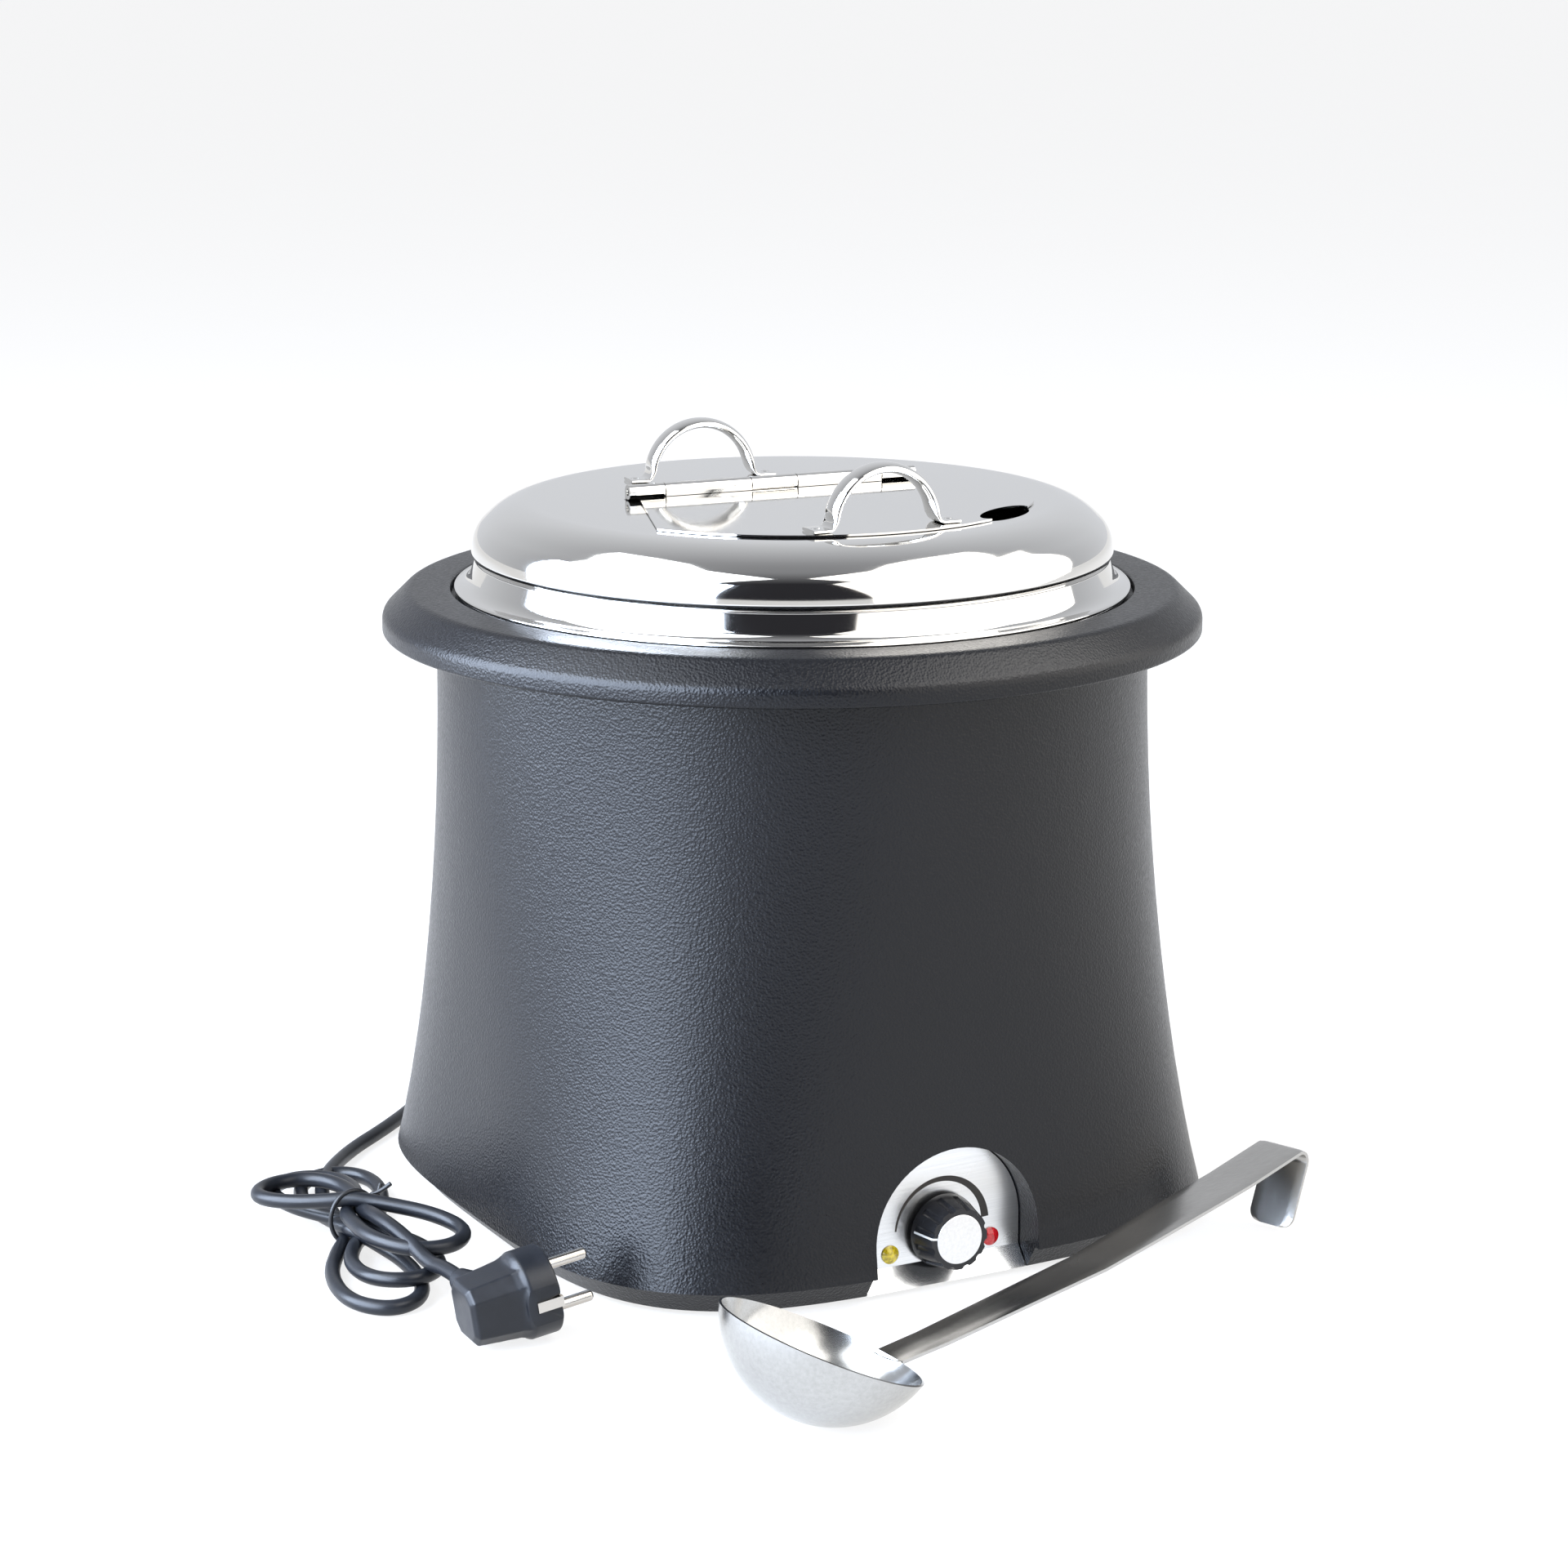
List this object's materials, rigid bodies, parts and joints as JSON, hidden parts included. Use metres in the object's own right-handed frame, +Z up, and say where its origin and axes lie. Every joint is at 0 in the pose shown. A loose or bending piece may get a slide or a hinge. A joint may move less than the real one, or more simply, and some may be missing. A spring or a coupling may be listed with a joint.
{
  "type": "electric soup kettle",
  "caption": "Round electric soup kettle with a black moulded housing, lift-out steel pot, steel lid with a hinged flap, dial panel, mains lead in a tied hank, and a ladle.",
  "frame": {"origin": "on the kettle's vertical axis, in the plane that its feet stand on", "axes": "+Z up, the control panel faces -Y, +X to the right of someone facing the panel"},
  "size_m": [0.4195, 0.5421, 0.3427],
  "materials": {
    "housing_plastic": "moulded with a fine pebble grain, low sheen",
    "foot_rubber": "matt",
    "seal_rubber": "matt",
    "screw_steel": "zinc plated",
    "fitting_plastic": "moulded",
    "satin_steel": "spun, satin",
    "element_sheath": "oxidised steel sheath",
    "zinc_steel": "zinc plated",
    "copper_bulb": "drawn copper",
    "panel_steel": "satin sheet with a printed scale",
    "lens_yellow": "translucent, polished",
    "lens_red": "translucent, polished",
    "knob_plastic": "moulded, satin",
    "cap_aluminium": "spun",
    "polished_steel": "mirror polished stainless steel",
    "cord_rubber": "smooth, low sheen",
    "tie_wire": "plastic coated wire",
    "plug_plastic": "moulded, low sheen",
    "pin_brass": "nickel plated brass",
    "wire_insulation": "glass fibre sleeve and PVC"
  },
  "bodies": {
    "root": {"base_screws": "screw_steel", "base_tray": "housing_plastic", "bulb_clip": "zinc_steel", "capillary_tube": "copper_bulb", "clamp_nut": "screw_steel", "control_panel": "panel_steel", "control_wires": "wire_insulation", "cord_gland": "cord_rubber", "cord_hank": "cord_rubber", "cord_lead": "cord_rubber", "cord_tail": "cord_rubber", "cord_tie": "tie_wire", "element_clamp": "zinc_steel", "foot_front_left": "foot_rubber", "foot_front_right": "foot_rubber", "foot_rear_left": "foot_rubber", "foot_rear_right": "foot_rubber", "gland_nut": "fitting_plastic", "heating_element": "element_sheath", "housing": "housing_plastic", "lamp_body_red": "fitting_plastic", "lamp_body_yellow": "fitting_plastic", "lamp_lens_red": "lens_red", "lamp_lens_yellow": "lens_yellow", "plug_body": "plug_plastic", "plug_earth_strips": "pin_brass", "plug_pins": "pin_brass", "plug_relief": "plug_plastic", "ring_screws": "screw_steel", "seal_ring": "seal_rubber", "sensor_bulb": "copper_bulb", "supply_wires": "wire_insulation", "terminal_block": "fitting_plastic", "thermal_cutout": "fitting_plastic", "thermostat_body": "fitting_plastic", "thermostat_nut": "screw_steel", "top_ring": "housing_plastic", "water_pan": "satin_steel"},
    "knob_body": {"knob": "knob_plastic", "knob_cap": "cap_aluminium", "thermostat_shaft": "zinc_steel"},
    "pot_body": {"insert_pot": "satin_steel"},
    "lid_body": {"lid_shell": "polished_steel", "hinge_leaf_rear": "polished_steel", "hinge_pin": "polished_steel", "rear_handle": "polished_steel"},
    "flap_body": {"lid_flap": "polished_steel", "hinge_leaf_front": "polished_steel", "front_handle": "polished_steel"},
    "ladle_body": {"ladle_bowl": "polished_steel", "ladle_handle": "satin_steel"}
  },
  "joints": [
    {"name": "pot_lift", "type": "slide", "parent": "root", "child": "pot_body", "axis": [0, 0, 1], "range_m": [0, 0.3]},
    {"name": "lid_lift", "type": "slide", "parent": "pot_body", "child": "lid_body", "axis": [0, 0, 1], "range_m": [0, 0.15]},
    {"name": "flap_hinge", "type": "hinge", "parent": "lid_body", "child": "flap_body", "pos_m": [0.00133, 0.01895, 0.318], "axis": [-0.9976, 0.0698, 0], "range_deg": [0, 110]},
    {"name": "knob_turn", "type": "hinge", "parent": "root", "child": "knob_body", "pos_m": [-0.007, -0.1606, 0.0242], "axis": [0, 1, 0], "range_deg": [0, 210]},
    {"name": "ladle_lift", "type": "slide", "parent": "root", "child": "ladle_body", "axis": [0, 0, 1], "range_m": [0, 0.4]}
  ]
}
